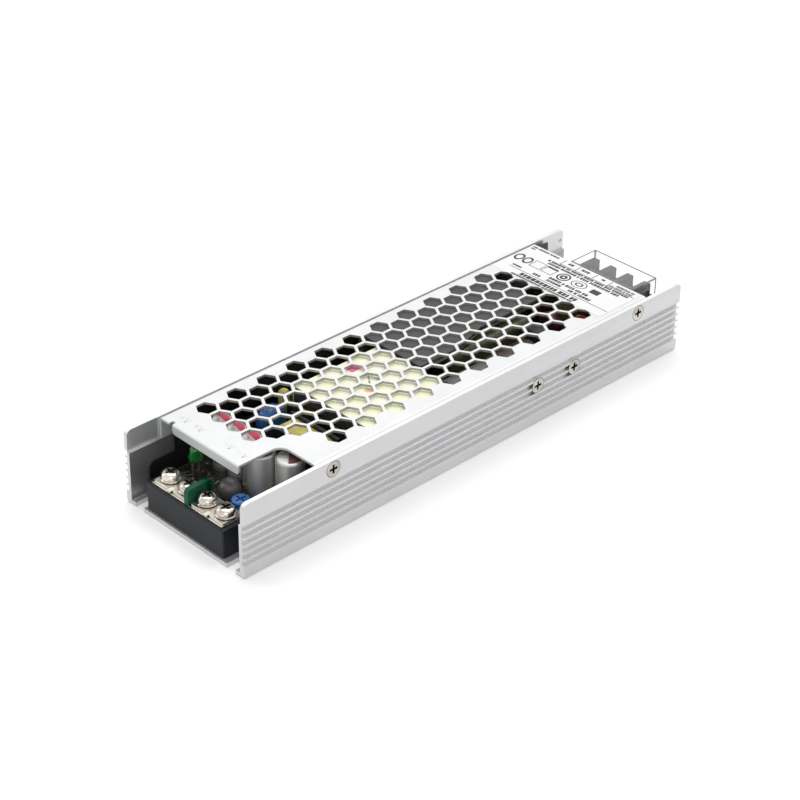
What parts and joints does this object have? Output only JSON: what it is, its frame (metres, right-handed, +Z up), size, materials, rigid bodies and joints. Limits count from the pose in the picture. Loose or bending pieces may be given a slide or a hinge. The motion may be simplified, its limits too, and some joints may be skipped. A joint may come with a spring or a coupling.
{
  "type": "slim enclosed power supply",
  "caption": "Slim enclosed power supply: ribbed aluminium channel, folded hex-vented cover, board with its parts, and a screw terminal block at each end.",
  "frame": {"origin": "middle of the underside of the case", "axes": "+Y runs along the case from the output end to the input end, +Z up out of the vented cover, +X across"},
  "size_m": [0.055, 0.194, 0.026],
  "materials": {
    "aluminium": "satin extruded",
    "cover_metal": "satin pale silver",
    "label_film": "printed film",
    "nickel_steel": "nickel plated",
    "black_film": "smooth film",
    "dark_board": "solder mask",
    "black_moulding": "fine moulded",
    "tinned_metal": "bright tin",
    "green_board": "solder mask",
    "blue_moulding": "gloss",
    "green_lens": "tinted lens",
    "dark_sleeve": "gloss sleeve",
    "can_metal": "drawn can",
    "red_coating": "dipped",
    "olive_tape": "taped",
    "pale_tape": "taped",
    "ferrite": "pressed ferrite",
    "copper_wire": "enamelled",
    "grey_pad": "soft pad",
    "grey_sleeve": "shrink sleeve",
    "yellow_moulding": "gloss box",
    "clear_plastic": "clear moulded"
  },
  "bodies": {
    "case": {"chassis": "aluminium", "top_cover": "cover_metal", "rating_label": "label_film", "cover_screws": "nickel_steel", "clamp_screws": "nickel_steel", "insulating_sheet": "black_film", "circuit_board": "dark_board", "board_pillars": "nickel_steel", "board_screws": "nickel_steel", "output_block": "black_moulding", "output_contacts": "tinned_metal", "output_square_washers": "tinned_metal", "output_round_washers": "tinned_metal", "output_screws": "nickel_steel", "polarity_separator": "green_board", "adjuster_body": "blue_moulding", "indicator_light": "green_lens", "dome_capacitor": "dark_sleeve", "small_output_capacitors": "can_metal", "large_output_capacitors": "can_metal", "suppression_capacitor": "blue_moulding", "surge_varistor": "red_coating", "inrush_thermistor": "red_coating", "output_choke_bobbin": "black_moulding", "output_choke_winding": "olive_tape", "transformer_core": "ferrite", "transformer_winding": "copper_wire", "transformer_tape": "pale_tape", "transformer_feet": "black_moulding", "taped_lead": "olive_tape", "rectifier_board": "dark_board", "control_board": "dark_board", "heat_spreader": "aluminium", "thermal_pad": "grey_pad", "bulk_capacitor": "grey_sleeve", "second_bulk_capacitor": "grey_sleeve", "boost_choke": "olive_tape", "resonant_choke": "ferrite", "standby_transformer": "pale_tape", "line_capacitor": "yellow_moulding", "bridge_rectifier": "black_moulding", "filter_choke_core": "ferrite", "filter_choke_windings": "copper_wire", "line_fuse": "red_coating", "power_transistors": "black_moulding", "clamp_nuts": "nickel_steel", "input_block": "black_moulding", "input_contacts": "tinned_metal", "input_screws": "nickel_steel"},
    "adjuster": {"adjuster_rotor": "blue_moulding"},
    "terminal_cover": {"input_cover": "clear_plastic"}
  },
  "joints": [
    {"name": "adjuster_turn", "type": "hinge", "parent": "case", "child": "adjuster", "pos_m": [0.0082, -0.0818, 0.01], "axis": [0, 0, 1], "range_deg": [-105, 105]},
    {"name": "terminal_cover_lift", "type": "hinge", "parent": "case", "child": "terminal_cover", "pos_m": [0.00503, 0.0852, 0.022], "axis": [1, 0, 0], "range_deg": [0, 95]}
  ]
}
